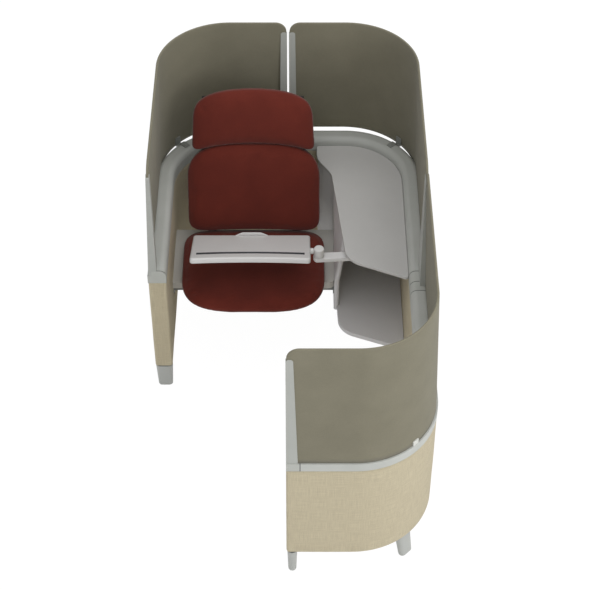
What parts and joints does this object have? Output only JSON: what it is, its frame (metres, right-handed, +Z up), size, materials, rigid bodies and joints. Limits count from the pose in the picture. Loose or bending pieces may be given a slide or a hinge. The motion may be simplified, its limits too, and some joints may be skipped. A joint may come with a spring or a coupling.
{
  "type": "armchair with privacy screen",
  "caption": "Lounge armchair inside a low upholstered wall with curved privacy screens, a side table over a bag nook, and a tilting tray on a swinging arm.",
  "frame": {"origin": "middle of the footprint, on the floor", "axes": "+X to the right as seen from the front, +Y to the back, along the longest side, +Z up"},
  "size_m": [1.11, 1.898, 1.219],
  "materials": {
    "rail_grey": "satin light grey",
    "cap_grey": "fine-textured light grey moulding",
    "tan_cloth": "tan woven upholstery cloth",
    "core_board": "plain board",
    "screen_felt": "olive grey felted panel",
    "post_grey": "light grey moulding",
    "bracket_grey": "dark grey powder coat",
    "clip_pale": "light grey powder coat",
    "screw_steel": "zinc plated",
    "leg_grey": "satin light grey",
    "plate_steel": "dark grey powder coat",
    "glide_black": "hard black rubber",
    "table_grey": "soft-touch light grey laminate",
    "nook_grey": "light grey laminate",
    "frame_steel": "mid grey powder coat",
    "platform_grey": "light grey moulding",
    "red_cloth": "dark red wool cloth",
    "shell_dark": "dark grey moulding",
    "pin_steel": "ground steel",
    "tray_grey": "pale grey moulding",
    "slot_dark": "dark grip lining"
  },
  "bodies": {
    "frame": {"rail_base_left": "rail_grey", "rail_base_right": "rail_grey", "rail_extension": "rail_grey", "base_caps": "cap_grey", "cap_extension_rear": "cap_grey", "link_sleeve": "cap_grey", "cap_extension_front": "cap_grey", "wall_cover_left": "tan_cloth", "wall_cover_right": "tan_cloth", "wall_cover_extension": "tan_cloth", "wall_core_left": "core_board", "wall_core_right": "core_board", "wall_core_extension": "core_board", "screen_rear_left": "screen_felt", "screen_rear_right": "screen_felt", "screen_extension": "screen_felt", "post_left_end": "post_grey", "post_right_end": "post_grey", "post_extension_rear": "post_grey", "post_extension_front": "post_grey", "post_rear_left": "post_grey", "post_rear_right": "post_grey", "rear_bracket": "bracket_grey", "rear_clips": "bracket_grey", "clip_extension": "clip_pale", "screws": "screw_steel", "leg_left_end": "leg_grey", "leg_right_end": "leg_grey", "leg_rear_left": "leg_grey", "leg_rear_right": "leg_grey", "leg_extension_corner": "leg_grey", "leg_extension_front": "leg_grey", "leg_plates": "plate_steel", "leg_bolts": "screw_steel", "leg_glides": "glide_black", "side_table": "table_grey", "bag_shelf": "nook_grey", "nook_curtain": "nook_grey", "wall_brackets": "plate_steel", "seat_beams": "frame_steel", "beam_plates": "plate_steel", "seat_platform": "platform_grey", "seat_cushion": "red_cloth", "back_cushion": "red_cloth", "back_shell": "shell_dark", "back_uprights": "frame_steel", "rod_guides": "glide_black", "pivot_plate": "plate_steel", "pivot_pin": "pin_steel"},
    "arm": {"tray_arm": "tray_grey", "swivel_pin": "pin_steel"},
    "knob": {"swivel_knob": "tray_grey"},
    "tray": {"tray_top": "tray_grey", "slot_liner": "slot_dark", "tray_lip": "tray_grey", "tilt_pin": "pin_steel"},
    "headrest": {"headrest_cushion": "red_cloth", "headrest_shell": "shell_dark", "headrest_rods": "pin_steel"}
  },
  "joints": [
    {"name": "arm_swing", "type": "hinge", "parent": "frame", "child": "arm", "pos_m": [0.34546, 0.18035, 0.6047], "axis": [0, 0, 1], "range_deg": [-3, 55]},
    {"name": "tray_swivel", "type": "hinge", "parent": "arm", "child": "knob", "pos_m": [0.126, 0.165, 0.6417], "axis": [0, 0, 1], "range_deg": [-4, 35]},
    {"name": "tray_tilt", "type": "hinge", "parent": "knob", "child": "tray", "pos_m": [0.126, 0.165, 0.6417], "axis": [1, 0, 0], "range_deg": [-6, 24]},
    {"name": "headrest_lift", "type": "slide", "parent": "frame", "child": "headrest", "axis": [0, 0.309, 0.9511], "range_m": [0, 0.06]}
  ]
}
